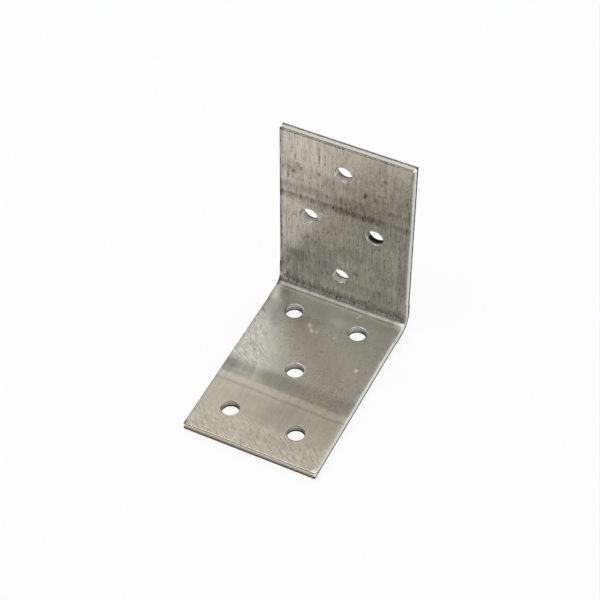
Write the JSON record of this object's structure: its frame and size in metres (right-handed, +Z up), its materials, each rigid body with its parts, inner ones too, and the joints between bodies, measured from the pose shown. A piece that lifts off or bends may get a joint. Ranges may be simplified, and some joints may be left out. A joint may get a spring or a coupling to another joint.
{
  "type": "corner brace bracket",
  "caption": "Right-angle corner brace folded from one strip of punched steel sheet, with screw holes in both legs.",
  "frame": {"origin": "on the surface it lies on, under the middle of the base leg, halfway from its end to the outer corner", "axes": "+Z up along the upright leg, +Y from the base leg's end towards the upright leg, X across the strip"},
  "size_m": [0.0404, 0.0622, 0.0623],
  "materials": {
    "steel": "bright zinc-plated mill finish, lightly scratched and stained by the press"
  },
  "bodies": {
    "root": {"bracket": "steel"}
  },
  "joints": []
}
